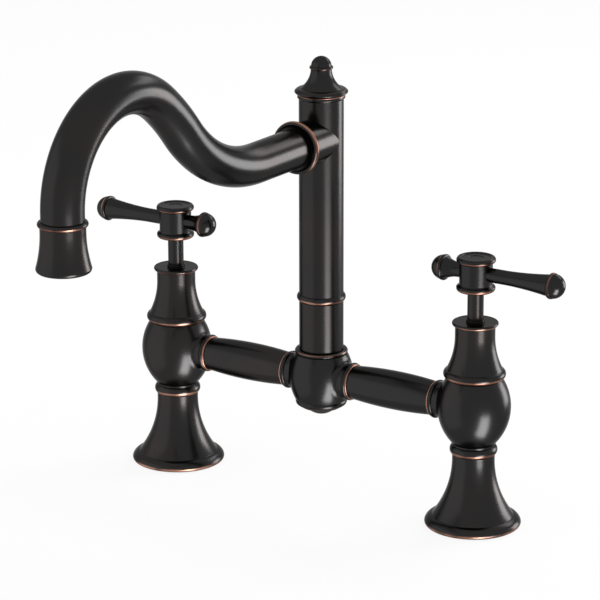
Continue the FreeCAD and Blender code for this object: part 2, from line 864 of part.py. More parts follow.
def spout_path():
    """Centre line in the YZ plane: out, up the rise, over the crook, and down to the outlet."""
    rise = math.radians(spout_rise_deg)
    lean = rise - math.radians(spout_shoulder_deg)
    over = spout_crook_bend * (1 + math.sin(lean))
    shoulder = spout_shoulder_bend * (math.sin(rise) - math.sin(lean))
    run = spout_reach - over - shoulder - spout_rise_bend * math.sin(rise)
    turns = [(spout_rise_bend, 0, rise), (spout_shoulder_bend, rise, lean),
             (spout_crook_bend, lean, -math.pi / 2)]
    here = V(0, -(boss_end - tube_grip), spout_z)
    there = V(0, -run, spout_z)
    edges = [Part.LineSegment(here, there).toShape()]
    for bend, a, b in turns:
        side = 1 if b > a else -1
        centre = there + V(0, math.sin(a), math.cos(a)) * bend * side
        points = [centre - V(0, math.sin(t), math.cos(t)) * bend * side
                  for t in (a, (a + b) / 2, b)]
        edges.append(Part.Arc(*points).toShape())
        there = points[-1]
    end = V(0, there.y, tube_end_z)
    edges.append(Part.LineSegment(there, end).toShape())
    return Part.Wire(edges)


def spout_tube():
    path = spout_path()
    start = V(0, -(boss_end - tube_grip), spout_z)
    skins = []
    for r in (tube_r, tube_bore):
        ring = Part.Wire(Part.makeCircle(r, start, V(0, -1, 0)))
        skins.append(path.makePipeShell([ring], True, False))
    return skins[0].cut(skins[1])


def at_outlet(shape):
    return moved(shape, 0, -spout_reach, 0)


def outlet_bell():
    neck_r = tube_r + outlet_neck_wall
    lip = (tube_r + outlet_lip_out, outlet_rim_z + outlet_lip_h)
    mouth_r = lip[0] - outlet_lip_w
    drop = outlet_neck_z - lip[1]
    out = lip[0] - neck_r

    def neck(z):
        return flare(neck_r, outlet_neck_z, (drop ** 2 + out ** 2) / (2 * out), z)

    bead_z = outlet_neck_z + outlet_bead_lift
    bead_top = bead_z + outlet_bead_h
    bead_low = (neck_r + outlet_bead_under, bead_z)
    bead_high = (tube_r + outlet_bead_over, bead_top)
    bead_out = tube_r + outlet_bead_out - (bead_low[0] + bead_high[0]) / 2
    rim = (mouth_r + outlet_lip_flat, outlet_rim_z)
    seat_r = aerator_r + fit
    return at_outlet(turned(
        (mouth_r, outlet_rim_z), rim, arc_to(rim, lip, outlet_lip_bow),
        along(neck, lip[1], outlet_neck_z),
        (neck_r, bead_z), bead_low, arc_to(bead_low, bead_high, bead_out),
        (tube_r, bead_top), (tube_r, tube_end_z), (seat_r, tube_end_z),
        (seat_r, aerator_z)))


def aerator_shell():
    top = aerator_z + aerator_h
    inner = aerator_r - aerator_wall
    ledge_z = aerator_z + aerator_ledge
    return at_outlet(turned(
        (inner - aerator_ledge, aerator_z), (aerator_r - aerator_chamfer, aerator_z),
        (aerator_r, aerator_z + aerator_chamfer), (aerator_r, top), (inner, top),
        (inner, ledge_z), (inner - aerator_ledge, ledge_z)))


def aerator_insert():
    """Plastic insert with a hole in its middle and three rings of 6, 12 and 18 holes."""
    bottom = aerator_z + aerator_ledge
    top = aerator_z + aerator_h
    hole = rod(aerator_hole_r, bottom, top)
    holes = [hole]
    for row in (1, 2, 3):
        ring = row * aerator_hole_pitch
        for i in range(6 * row):
            turn = 2 * math.pi * i / (6 * row)
            holes.append(moved(hole, ring * math.cos(turn), ring * math.sin(turn), 0))
    insert = rod(aerator_r - aerator_wall - fit, bottom, top)
    return at_outlet(insert.cut(Part.makeCompound(holes)))


def aerator_washer():
    bottom = aerator_z + aerator_h
    return at_outlet(pipe(aerator_r, aerator_r - aerator_washer_w, bottom, tube_end_z))


# ---- All pieces ----

pillar_pieces = {
    "foot": foot(),
    "foot_gasket": foot_gasket(),
    "inlet_bush": inlet_bush(),
    "valve_body": valve_body(),
    "seat_washer": seat_washer(),
    "cartridge": cartridge(),
    "fixed_disc": ported_disc(cartridge_z, 0),
    "bonnet": bonnet(),
    "gland_flange": gland_flange(),
    "moving_disc": ported_disc(moving_disc_z, 90),
    "spindle": spindle(),
    "hub": hub(),
    "hub_cap": hub_cap(),
    "grub_screw": grub_screw(),
    "lever": lever(),
    "lever_end": lever_end(),
    "counter_knob": counter_knob(),
}
for node, shape in pillar_pieces.items():
    save_pair(node, shape)

bridge_pieces = {
    "bridge_arm": bridge_arm(),
    "inner_arm_collar": arm_collar(centre_neck_x, 1),
    "outer_arm_collar": arm_collar(pillar_x - pillar_neck_x, -1),
}
for node, shape in bridge_pieces.items():
    save("right_" + node, shape)
    save("left_" + node, shape.mirror(V(0, 0, 0), V(1, 0, 0)))

single_pieces = {
    "centre_body": centre_body(),
    "bottom_plug": bottom_plug(),
    "lower_column": lower_column(),
    "swivel_spigot": swivel_spigot(),
    "swivel_o_rings": swivel_o_rings(),
    "retaining_clip": retaining_clip(),
    "swivel_collar": swivel_collar(),
    "swivel_bush": swivel_bush(),
    "column_tube": column_tube(),
    "finial": finial(),
    "spout_boss": spout_boss(),
    "spout_ring": spout_ring(),
    "spout_tube": spout_tube(),
    "outlet_bell": outlet_bell(),
    "aerator_shell": aerator_shell(),
    "aerator_insert": aerator_insert(),
    "aerator_washer": aerator_washer(),
}
for node, shape in single_pieces.items():
    save(node, shape)
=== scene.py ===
import math

import bpy
import numpy as np
from mathutils import Matrix, Vector


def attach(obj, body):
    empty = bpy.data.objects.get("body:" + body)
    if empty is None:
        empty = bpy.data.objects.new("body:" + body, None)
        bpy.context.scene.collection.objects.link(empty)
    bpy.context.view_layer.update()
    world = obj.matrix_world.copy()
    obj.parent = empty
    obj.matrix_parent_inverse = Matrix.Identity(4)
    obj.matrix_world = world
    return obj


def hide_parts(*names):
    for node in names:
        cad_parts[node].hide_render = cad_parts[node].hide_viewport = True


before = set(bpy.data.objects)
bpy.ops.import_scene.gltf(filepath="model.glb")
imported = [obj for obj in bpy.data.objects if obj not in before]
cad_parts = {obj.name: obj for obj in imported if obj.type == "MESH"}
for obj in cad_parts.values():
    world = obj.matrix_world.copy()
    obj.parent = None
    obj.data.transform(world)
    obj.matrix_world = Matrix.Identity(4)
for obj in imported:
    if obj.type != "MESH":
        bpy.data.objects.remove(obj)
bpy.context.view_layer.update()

# A bridge sink mixer in a dark bronze finish. The pieces come in the order in which such a
# mixer is put together, from the feet up. Outlines are in millimetres, as the CAD pieces are.


# ---- Feet ----
# Hollow brass bells, turned on a lathe, that stand on the sink and carry the pillars. The dark
# bronze finish is rubbed through to the copper along the rim and under the bead at the neck.

MM = 0.001
PILLAR_X = 101.5
SIDES = (("left", -1), ("right", 1))
COAT_DARK, COAT_BROWN, COAT_PIT = (0.0222, 0.0220, 0.0222), (0.037, 0.028, 0.024), (0.015,) * 3
COPPER_DULL, COPPER_BRIGHT = (0.09, 0.040, 0.028), (0.27, 0.145, 0.105)


def input_socket(tree, name, kind, value=None):
    socket = tree.interface.new_socket(name, in_out="INPUT", socket_type=kind)
    if value is not None:
        socket.default_value = value
    return socket


def link(tree, source, target):
    tree.links.new(source, target)


def spread(tree, value, low, high, to_low=0.0, to_high=1.0):
    """Map Range node from low..high to to_low..to_high, clamped."""
    node = tree.nodes.new("ShaderNodeMapRange")
    link(tree, value, node.inputs["Value"])
    for name, number in zip(("From Min", "From Max", "To Min", "To Max"),
                            (low, high, to_low, to_high)):
        if isinstance(number, float):
            node.inputs[name].default_value = number
        else:
            link(tree, number, node.inputs[name])
    return node.outputs["Result"]


def calc(tree, operation, a, b):
    node = tree.nodes.new("ShaderNodeMath")
    node.operation = operation
    for socket, value in zip(node.inputs, (a, b)):
        if isinstance(value, (int, float)):
            socket.default_value = value
        else:
            link(tree, value, socket)
    return node.outputs[0]


def blend(tree, mask, a, b):
    """Colour a where the mask is 0 and b where it is 1."""
    node = tree.nodes.new("ShaderNodeMix")
    node.data_type = "RGBA"
    link(tree, mask, node.inputs["Factor"])
    for socket, value in ((node.inputs[6], a), (node.inputs[7], b)):
        if isinstance(value, tuple):
            socket.default_value = value + (1.0,)
        else:
            link(tree, value, socket)
    return node.outputs[2]


def group_tree(name, inputs, outputs):
    """Empty shader group with its inputs, outputs and the object's own coordinates."""
    tree = bpy.data.node_groups.new(name, "ShaderNodeTree")
    for label, value in inputs:
        input_socket(tree, label, "NodeSocketFloat", value)
    for label, kind in outputs:
        tree.interface.new_socket(label, in_out="OUTPUT", socket_type=kind)
    start = tree.nodes.new("NodeGroupInput")
    end = tree.nodes.new("NodeGroupOutput")
    place = tree.nodes.new("ShaderNodeTexCoord").outputs["Object"]
    return tree, start, end, place


def edge_wear_group():
    """Turns the wear painted on a turned edge into a mask that is broken up along the edge."""
    tree, start, end, place = group_tree(
        "edge_wear", [("Wear", 0.0), ("Patch Scale", 90.0), ("Roughen", 0.7)],
        [("Mask", "NodeSocketFloat"), ("Tone", "NodeSocketFloat")])
    node = tree.nodes.new("ShaderNodeTexNoise")
    node.inputs["Detail"].default_value = 3.0
    link(tree, place, node.inputs["Vector"])
    link(tree, start.outputs["Patch Scale"], node.inputs["Scale"])
    patchy = spread(tree, node.outputs["Fac"], 0.35, 0.65, -0.5, 0.5)
    shift = calc(tree, "MULTIPLY", patchy, start.outputs["Roughen"])
    shifted = calc(tree, "MULTIPLY", shift, start.outputs["Wear"])
    worn = calc(tree, "ADD", start.outputs["Wear"], shifted)
    link(tree, spread(tree, worn, 0.25, 0.75), end.inputs["Mask"])
    tone = tree.nodes.new("ShaderNodeTexNoise")
    tone.inputs["Detail"].default_value = 2.0
    link(tree, place, tone.inputs["Vector"])
    link(tree, calc(tree, "MULTIPLY", start.outputs["Patch Scale"], 0.5), tone.inputs["Scale"])
    link(tree, spread(tree, tone.outputs["Fac"], 0.38, 0.62), end.inputs["Tone"])
    return tree


def patina_group():
    """Slow brown clouds in the dark coat, and the fine grain of the rubbed surface."""
    tree, start, end, place = group_tree(
        "patina", [("Cloud Scale", 22.0), ("Grain Scale", 900.0)],
        [("Clouds", "NodeSocketFloat"), ("Grain", "NodeSocketFloat")])
    for label, output, detail, low, high in (
            ("Cloud Scale", "Clouds", 2.0, 0.42, 0.72), ("Grain Scale", "Grain", 4.0, 0.2, 0.8)):
        node = tree.nodes.new("ShaderNodeTexNoise")
        node.inputs["Detail"].default_value = detail
        link(tree, place, node.inputs["Vector"])
        link(tree, start.outputs[label], node.inputs["Scale"])
        link(tree, spread(tree, node.outputs["Fac"], low, high), end.inputs[output])
    return tree


edge_wear = edge_wear_group()
patina = patina_group()


def use_group(tree, group, **values):
    node = tree.nodes.new("ShaderNodeGroup")
    node.node_tree = group
    for name, value in values.items():
        node.inputs[name.replace("_", " ")].default_value = value
    return node


def new_material(name, metallic, roughness):
    """Material with a plain Principled BSDF; returns the material, its tree and the shader."""
    material = bpy.data.materials.new(name)
    material.use_nodes = True
    shader = material.node_tree.nodes["Principled BSDF"]
    shader.inputs["Metallic"].default_value = metallic
    shader.inputs["Roughness"].default_value = roughness
    return material, material.node_tree, shader


def bump(tree, shader, height, strength, distance):
    node = tree.nodes.new("ShaderNodeBump")
    node.inputs["Strength"].default_value = strength
    node.inputs["Distance"].default_value = distance
    link(tree, height, node.inputs["Height"])
    link(tree, node.outputs["Normal"], shader.inputs["Normal"])


def bronze_material(name, gloss, clouds):
    """Near-black bronze coat, brown in places, rubbed through to copper where it is worn."""
    material, tree, shader = new_material(name, 1.0, gloss)
    shader.inputs["Specular Tint"].default_value = (0.55, 0.55, 0.55, 1.0)
    surface = use_group(tree, patina)
    wear = tree.nodes.new("ShaderNodeAttribute")
    wear.attribute_name = "wear"
    worn = use_group(tree, edge_wear)
    link(tree, wear.outputs["Fac"], worn.inputs["Wear"])
    brown = calc(tree, "MULTIPLY", surface.outputs["Clouds"], clouds)
    coat = blend(tree, brown, COAT_DARK, COAT_BROWN)
    shade = spread(tree, surface.outputs["Grain"], 0.0, 1.0, 0.0, 0.15)
    coat = blend(tree, shade, coat, COAT_PIT)
    copper = blend(tree, worn.outputs["Tone"], COPPER_DULL, COPPER_BRIGHT)
    link(tree, blend(tree, worn.outputs["Mask"], coat, copper), shader.inputs["Base Color"])
    satin = spread(tree, surface.outputs["Grain"], 0.0, 1.0, gloss - 0.02, gloss + 0.03)
    rubbed = spread(tree, worn.outputs["Mask"], 0.0, 1.0, satin, 0.30)
    link(tree, rubbed, shader.inputs["Roughness"])
    bump(tree, shader, surface.outputs["Grain"], 0.03, 0.00002)
    return material


bronze = bronze_material("dark_bronze", 0.25, 0.35)
bronze_gloss = bronze_material("dark_bronze_polished", 0.21, 0.3)


def run(bow, *worn):
    """How an outline goes on to its next corner: its bulge to the right, and its worn places.
    A worn place is (share of the way, depth of wear, reach in mm)."""
    return {"bow": bow, "worn": worn}


def arc_of(a, b, bend):
    """Bulge of the arc with that radius from a to b; a negative radius curves inwards."""
    chord = math.dist(a, b)
    return math.copysign(abs(bend) - math.sqrt(bend ** 2 - chord ** 2 / 4), bend)


def stretch(a, b, bow):
    """Points from corner a to corner b."""
    a, b = np.array(a, float), np.array(b, float)
    chord = math.dist(a, b)
    way = (b - a) / chord
    out = np.array([way[1], -way[0]])
    if abs(bow) < 1e-6:
        # points close to both ends keep a straight wall's shading flat
        near = [d for d in (0.15, 0.4, 0.9, 1.8, 4.0) if d < chord / 2]
        dist = np.array([0.0] + near + [chord - d for d in reversed(near)] + [chord])
        return a + dist[:, None] * way
    bend = (chord ** 2 / 4 + bow ** 2) / (2 * abs(bow))
    side = math.copysign(1, bow)
    half = math.asin(min(1.0, chord / 2 / bend))
    centre = (a + b) / 2 + out * (bow - side * bend)
    count = int(np.clip(2 * half * bend / 0.3, 8, 64))
    turn = np.linspace(-half, half, count + 1)[:, None]
    return centre + out * side * bend * np.cos(turn) + way * bend * np.sin(turn)


def cut_back(points, distance):
    """The points without the first stretch of that length."""
    steps = np.linalg.norm(np.diff(points, axis=0), axis=1)
    left = min(distance, 0.45 * steps.sum())
    for i, step in enumerate(steps):
        if step > left:
            first = points[i] + (points[i + 1] - points[i]) * left / step
            return np.vstack([first, points[i + 1:]])
        left -= step


def trace(items):
    """Outline points (r, z) and their wear. The items are corners (r, z) or (r, z, ease), where
    ease is how far from the corner its rounding starts, and runs between them."""
    corners, runs = [], []
    for item in items:
        if isinstance(item, dict):
            runs[-1] = item
        else:
            corners.append(item)
            runs.append(run(0.0))
    paths, marks = [], []
    for a, b, way in zip(corners, corners[1:], runs):
        path = stretch(a[:2], b[:2], way["bow"])
        for share, depth, reach in way["worn"]:
            marks.append((path[round(share * (len(path) - 1))], depth, reach))
        paths.append(path)
    for i in range(1, len(paths)):
        if len(corners[i]) > 2:
            ease = corners[i][2]
            before = cut_back(paths[i - 1][::-1], ease)[::-1]
            after = cut_back(paths[i], ease)
            t = np.linspace(0, 1, 8)[1:-1, None]
            corner = np.array(corners[i][:2])
            curve = (1 - t) ** 2 * before[-1] + 2 * t * (1 - t) * corner + t ** 2 * after[0]
            paths[i - 1] = np.vstack([before, curve])
            paths[i] = after
    points = np.vstack([p if i == 0 else p[(0 if len(corners[i]) > 2 else 1):]
                        for i, p in enumerate(paths)])
    wear = np.zeros(len(points))
    for place, depth, reach in marks:
        # whole to 3/8 of its reach, then fading out
        near = 1 - np.linalg.norm(points - place, axis=1) / reach
        wear = np.maximum(wear, depth * np.clip(near * 1.6, 0, 1))
    return points, wear


def turn(items, count=160):
    """Points, faces and wear of a closed outline turned about Z. It starts and ends on the
    axis, or is a ring that ends where it starts."""
    outline, wear = trace(items)
    ring = math.dist(outline[0], outline[-1]) < 1e-6
    if ring:
        outline, wear = outline[:-1], wear[:-1]
    angles = 2 * math.pi * np.arange(count) / count
    points, worn, rows = [], [], []
    for (r, z), w in zip(outline, wear):
        if r < 1e-6:
            rows.append([len(points)] * count)
            points.append((0.0, 0.0, z))
            worn.append(w)
            continue
        rows.append(list(range(len(points), len(points) + count)))
        points.extend(zip(r * np.cos(angles), r * np.sin(angles), np.full(count, z)))
        worn.extend([w] * count)
    faces = []
    for low, high in zip(rows, rows[1:] + ([rows[0]] if ring else [])):
        for j in range(count):
            k = (j + 1) % count
            face = [low[j], low[k], high[k], high[j]]
            faces.append([v for n, v in enumerate(face) if v != face[n - 1]])
    return np.array(points), faces, np.array(worn)


# rotations that lay an upright piece along X, against X, or towards the user along -Y
AXES = {
    "up": np.eye(3),
    "right": np.array([[0, 0, 1], [0, 1, 0], [-1, 0, 0]]),
    "left": np.array([[0, 0, -1], [0, 1, 0], [1, 0, 0]]),
    "out": np.array([[1, 0, 0], [0, 0, -1], [0, 1, 0]]),
}


def make_piece(name, points, faces, wear, material, body, nodes):
    """Object from points in millimetres; it rides on a body and stands for CAD nodes."""
    mesh = bpy.data.meshes.new(name)
    mesh.from_pydata((np.asarray(points) * MM).tolist(), [], faces)
    mesh.attributes.new("wear", "FLOAT", "POINT").data.foreach_set("value", wear)
    mesh.materials.append(material)
    mesh.shade_smooth()
    mesh.set_sharp_from_angle(angle=math.radians(38))
    piece = bpy.data.objects.new(name, mesh)
    bpy.context.scene.collection.objects.link(piece)
    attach(piece, body)
    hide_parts(*nodes)
    return piece


def turned_piece(name, items, axis, place, body, node, material=bronze, saddle=0.0, count=160):
    """Turned piece whose axis points up, right, left or out through a place. A saddle is the
    radius of the upright barrel that its root sits on."""
    points, faces, wear = turn(items, count)
    if saddle:
        root = points[:, 2] <= points[:, 2].min() + 1e-6
        across = points[root, 0 if axis == "out" else 1]
        points[root, 2] = np.sqrt(saddle ** 2 - np.minimum(across ** 2, saddle ** 2))
    points = points @ AXES[axis].T + np.array(place)
    return make_piece(name, points, faces, wear, material, body, [node])


foot_crease, foot_waist = (23.13, 6.0), (12.0, 39.0)
foot_items = [
    (20.0, 0.0), (21.05, 0.0), (21.05, 1.2), (24.35, 1.2), (24.35, 0.0),
    (25.4, 0.0, 0.2), run(0.7, (0.55, 0.75, 1.9)), (27.25, 2.6, 0.6), run(0.75),
    foot_crease + (0.3,), run(arc_of(foot_crease, foot_waist, -54.5)), foot_waist,
    (12.0, 42.2, 0.15), run(1.46, (0.26, 1.0, 1.6)), (12.0, 47.8), (9.6, 47.8), (9.6, 39.0),
    run(arc_of((9.6, 39.0), (20.0, 6.6), 56.9)), (20.0, 6.6, 0.5), (20.0, 0.0)]
for side, sign in SIDES:
    turned_piece(side + "_foot", foot_items, "up", (sign * PILLAR_X, 0, 0), "root", side + "_foot",
                 count=192)


# ---- Valve bodies ----
# Cast and turned brass balls on top of the feet, each with a side neck that the bridge is
# screwed to. The ball's coat is whole: only its neighbours' edges are rubbed through.

BRIDGE_Z = 70.0
NECK_R = 10.0
NECK_ROOT_R = 12.0
BALL_R, BALL_BEND, BALL_FACE_X = 20.65, 30.6, 22.2


def swell(belly_r, bend, z):
    """Radius of a ball-shaped body at height z."""
    return belly_r - bend + math.sqrt(bend ** 2 - (z - BRIDGE_Z) ** 2)


def add_side_neck(points, faces, belly_r, bend, side, face_x):
    """Opens a hole in the body around the bridge's axis and grows a neck out of its edge. The
    neck leaves the belly tangent to it and ends in a flat face."""

    def belly_x(y, rise):
        return math.sqrt(swell(belly_r, bend, BRIDGE_Z + rise) ** 2 - y ** 2)

    reach = np.hypot(points[:, 1], points[:, 2] - BRIDGE_Z)
    facing = points[:, 0] * side > 0
    inside = facing & (reach < NECK_ROOT_R)
    kept = [f for f in faces if not inside[f].any()]
    edges = {(f[i - 1], f[i]) for f in kept for i in range(len(f))}
    after = {b: a for a, b in edges if (b, a) not in edges
             and facing[a] and reach[a] < NECK_ROOT_R + 3 and facing[b]}
    first = min(after)
    loop = [first]
    while after[loop[-1]] != first:
        loop.append(after[loop[-1]])
    angles = []
    for v in loop:
        y, rise = points[v][1], points[v][2] - BRIDGE_Z
        angle = math.atan2(rise, y)
        y, rise = NECK_ROOT_R * math.cos(angle), NECK_ROOT_R * math.sin(angle)
        points[v] = (side * belly_x(y, rise), y, BRIDGE_Z + rise)
        angles.append(angle)
    steps = []
    step_in = 0.01
    for angle in angles:
        c, s = math.cos(angle), math.sin(angle)
        root = belly_x(NECK_ROOT_R * c, NECK_ROOT_R * s)
        inner = belly_x((NECK_ROOT_R - step_in) * c, (NECK_ROOT_R - step_in) * s)
        knee = root + (inner - root) / step_in * (NECK_ROOT_R - NECK_R)
        start, bent, end = (root, NECK_ROOT_R), (knee, NECK_R), (knee + 1.8, NECK_R)
        t = np.linspace(0, 1, 9)[1:, None]
        curve = (1 - t) ** 2 * start + 2 * t * (1 - t) * bent + t ** 2 * end
        steps.append(np.vstack([curve, (face_x, NECK_R), (face_x, NECK_R * 0.5)]))
    new_points, new_faces = [], []
    total = len(points)
    rows = [loop]
    for i in range(len(steps[0])):
        rows.append(list(range(total + i * len(loop), total + (i + 1) * len(loop))))
        for angle, step in zip(angles, steps):
            new_points.append((side * step[i][0], step[i][1] * math.cos(angle),
                               BRIDGE_Z + step[i][1] * math.sin(angle)))
    for low, high in zip(rows, rows[1:]):
        for j in range(len(loop)):
            k = (j + 1) % len(loop)
            new_faces.append([low[j], low[k], high[k], high[j]])
    tip = total + len(new_points)
    new_points.append((side * face_x, 0.0, BRIDGE_Z))
    last = rows[-1]
    new_faces.extend([last[j], last[(j + 1) % len(last)], tip] for j in range(len(last)))
    return np.vstack([points, new_points]), kept + new_faces


ball_low, ball_high = (12.0, 48.68), (15.63, 86.8)
ball_items = [
    (0.0, 47.8), (12.0, 47.8), ball_low + (0.2,), run(arc_of(ball_low, ball_high, BALL_BEND)),
    ball_high, (0.0, 86.8)]
for side, sign in SIDES:
    points, faces, _ = turn(ball_items, 192)
    points, faces = add_side_neck(points, faces, BALL_R, BALL_BEND, -sign, BALL_FACE_X)
    points = points + np.array((sign * PILLAR_X, 0, 0))
    make_piece(side + "_valve_body", points, faces, np.zeros(len(points)), bronze, "root",
               [side + "_valve_body"])


# ---- Bonnets ----
# Turned bell-shaped covers over the cartridges, screwed down on the valve bodies. The large
# bead at the foot is rubbed to copper on its underside.

bonnet_low, bonnet_bead = (15.63, 86.8), (15.79, 92.0)
bonnet_waist = (11.25, 111.0)
bonnet_items = [
    (8.85, 86.8), bonnet_low, run(1.84, (0.26, 1.0, 1.6)), bonnet_bead + (0.12,),
    run(arc_of(bonnet_bead, bonnet_waist, -42.0)), bonnet_waist, (11.25, 117.2),
    (8.85, 117.2), (8.85, 86.8)]
for side, sign in SIDES:
    turned_piece(side + "_bonnet", bonnet_items, "up", (sign * PILLAR_X, 0, 0), "root",
                 side + "_bonnet")


# ---- Gland flanges ----
# Turned discs that close the bonnets round the stems, with a low boss in the middle. Their
# lower edge is worn all round.

gland_items = [
    (4.6, 117.2), (11.45, 117.2, 0.1), run(0.3, (0.55, 1.0, 1.4)), (13.0, 118.4, 0.3),
    run(0.2), (12.5, 119.6, 0.2), (12.0, 119.6, 0.1), (11.85, 119.45, 0.1),
    (5.35, 119.45, 0.1), (5.2, 119.6), (5.2, 120.8, 0.25), (4.6, 120.8), (4.6, 117.2)]
for side, sign in SIDES:
    turned_piece(side + "_gland_flange", gland_items, "up", (sign * PILLAR_X, 0, 0), "root",
                 side + "_gland_flange")


# ---- Stems ----
# Brass spindles, a quarter turn from open to closed, that carry the handles.

stem_items = [
    (0.0, 106.0), (4.55, 106.0), (4.55, 140.5), (0.0, 140.5)]
for side, sign in SIDES:
    turned_piece(side + "_spindle", stem_items, "up", (sign * PILLAR_X, 0, 0), side + "_handle",
                 side + "_spindle", count=96)


# ---- Handle hubs and caps ----
# Short turned barrels with a flange, held on the splines by a grub screw at the back. A dished
# cap with a rolled edge closes each; the roll is rubbed to copper where it turns under.

hub_items = [
    (0.0, 137.45), (9.9, 137.45, 0.2), run(0.3, (0.5, 1.0, 1.25)), (10.9, 139.2, 0.4), run(0.3),
    (10.1, 140.6, 0.4), run(-0.3), (9.3, 141.8, 0.4), (9.3, 152.9), (0.0, 152.9)]
cap_items = [
    (0.0, 152.9), (9.3, 152.9), (9.3, 153.4, 0.1), (10.0, 153.8, 0.15),
    run(0.25, (0.5, 0.95, 0.85)), (11.0, 155.2, 0.4), run(0.3), (9.9, 157.0, 0.4),
    (8.7, 157.0, 0.25), (8.0, 156.45, 0.2), (4.4, 156.45, 0.15), (4.1, 156.15, 0.15),
    (0.0, 156.15)]
for side, sign in SIDES:
    at = (sign * PILLAR_X, 0, 0)
    turned_piece(side + "_hub", hub_items, "up", at, side + "_handle", side + "_hub")
    turned_piece(side + "_hub_cap", cap_items, "up", at, side + "_handle", side + "_hub_cap")


# ---- Levers and counter knobs ----
# Turned levers that swell towards a ringed ball, and a short ringed knob opposite each. The
# ring of each is lightly rubbed on the side of the ball.

LEVER_Z = 147.7
HUB_R = 9.3
lever_items = [
    (0.0, HUB_R), (4.05, HUB_R), (4.05, 20.0, 2.0), run(-0.4), (6.3, 46.8, 0.15), (0.0, 46.8)]
lever_end_items = [
    (0.0, 46.8), (6.6, 46.8, 0.15), run(0.35), (7.3, 48.0, 0.3), run(0.1, (0.5, 0.6, 0.7)),
    (6.95, 49.2, 0.1), run(arc_of((6.95, 49.2), (0.0, 55.35), 7.0)), (0.0, 55.35)]
knob_items = [
    (0.0, HUB_R), (4.15, HUB_R), (4.15, 11.0, 1.5), run(-0.5), (6.35, 19.1, 0.15),
    (6.6, 19.1, 0.15), run(0.35), (7.3, 20.3, 0.3), run(0.1, (0.5, 0.6, 0.7)),
    (6.95, 21.5, 0.1), run(arc_of((6.95, 21.5), (0.0, 27.6), 7.01)), (0.0, 27.6)]
for side, sign in SIDES:
    at = (sign * PILLAR_X, 0, LEVER_Z)
    way, back = ("right", "left") if sign > 0 else ("left", "right")
    turned_piece(side + "_lever", lever_items, way, at, side + "_handle", side + "_lever",
                 saddle=HUB_R, count=128)
    turned_piece(side + "_lever_end", lever_end_items, way, at, side + "_handle",
                 side + "_lever_end", bronze_gloss, count=128)
    turned_piece(side + "_counter_knob", knob_items, back, at, side + "_handle",
                 side + "_counter_knob", bronze_gloss, saddle=HUB_R, count=128)


# ---- Bridge arms ----
# Two turned barrels that carry hot and cold water to the middle. They are fullest half way.

CENTRE_FACE_X = 19.6
BODY_FACE_X = PILLAR_X - BALL_FACE_X
COLLAR_W = 3.4
arm_start, arm_end = CENTRE_FACE_X + COLLAR_W, BODY_FACE_X - COLLAR_W
arm_items = [
    (0.0, arm_start), (9.6, arm_start), run(1.4), (9.6, arm_end), (0.0, arm_end)]
for side, sign in SIDES:
    turned_piece(side + "_bridge_arm", arm_items, "right" if sign > 0 else "left",
                 (0, 0, BRIDGE_Z), "root", side + "_bridge_arm")


# ---- Arm collars ----
# Turned rings between the arms and the bodies, with a bead on the side of the body and a thin
# lip on the side of the arm. The lip is rubbed to copper.

collar_items = [
    (0.0, 0.0), (10.05, 0.0, 0.1), run(0.9), (10.05, 2.5, 0.1),
    (10.35, 2.5, 0.1), run(0.2, (0.5, 0.9, 0.95)), (9.95, COLLAR_W, 0.1),
    (0.0, COLLAR_W)]
for side, sign in SIDES:
    way, back = ("right", "left") if sign > 0 else ("left", "right")
    turned_piece(side + "_inner_arm_collar", collar_items, way,
                 (sign * CENTRE_FACE_X, 0, BRIDGE_Z), "root", side + "_inner_arm_collar",
                 count=128)
    turned_piece(side + "_outer_arm_collar", collar_items, back,
                 (sign * BODY_FACE_X, 0, BRIDGE_Z), "root", side + "_outer_arm_collar",
                 count=128)


# ---- Centre body and its plug ----
# A cast and turned body where hot and cold water meet. It has a side neck for each arm, a
# rubbed rim round the column, and a domed plug screwed in from below.

CENTRE_R, CENTRE_BEND = 18.3, 29.6
centre_low, centre_high = (15.18, 56.8), (15.02, 84.1)
centre_items = [
    (0.0, 53.2), (13.6, 53.2, 0.2), run(0.75, (0.08, 0.7, 0.6)), (14.5, 56.5, 0.1),
    centre_low + (0.1,), run(arc_of(centre_low, centre_high, CENTRE_BEND)),
    centre_high + (0.1,),
    (14.5, 84.4, 0.1), run(0.3), (15.2, 85.6, 0.3), run(0.3, (0.3, 0.5, 0.6)),
    (13.9, 86.8, 0.3), (0.0, 86.8)]
points, faces, wear = turn(centre_items, 192)
for sign in (1, -1):
    points, faces = add_side_neck(points, faces, CENTRE_R, CENTRE_BEND, sign, CENTRE_FACE_X)
wear = np.concatenate([wear, np.zeros(len(points) - len(wear))])
make_piece("centre_body", points, faces, wear, bronze, "root", ["centre_body"])
plug_items = [
    (0.0, 47.3), run(arc_of((0.0, 47.3), (9.0, 51.6), 11.57)), (9.0, 51.6, 0.2),
    (10.8, 51.6, 0.3), run(0.3, (0.8, 0.3, 0.5)), (12.6, 53.2), (0.0, 53.2)]
turned_piece("bottom_plug", plug_items, "up", (0, 0, 0), "root", "bottom_plug")


# ---- Fixed lower column ----
# A length of one-inch brass tube that stands in the centre body.

COLUMN_R, COLUMN_BORE = 12.7, 11.0
lower_items = [
    (COLUMN_BORE, 81.0), (COLUMN_R, 81.0), (COLUMN_R, 115.4, 0.1), (COLUMN_BORE, 115.4),
    (COLUMN_BORE, 81.0)]
turned_piece("lower_column", lower_items, "up", (0, 0, 0), "root", "lower_column")


# ---- Swivel collar ----
# The bead at the foot of the turning column, where the spout swings. It is rubbed just below
# its crown.

SWING_Z = 115.7
seam_items = [
    (COLUMN_R, SWING_Z), (13.0, SWING_Z, 0.1), run(1.0, (0.3, 1.0, 1.05)), (13.0, 119.7, 0.1),
    (COLUMN_R, 119.7), (COLUMN_R, SWING_Z)]
turned_piece("swivel_collar", seam_items, "up", (0, 0, 0), "spout", "swivel_collar")


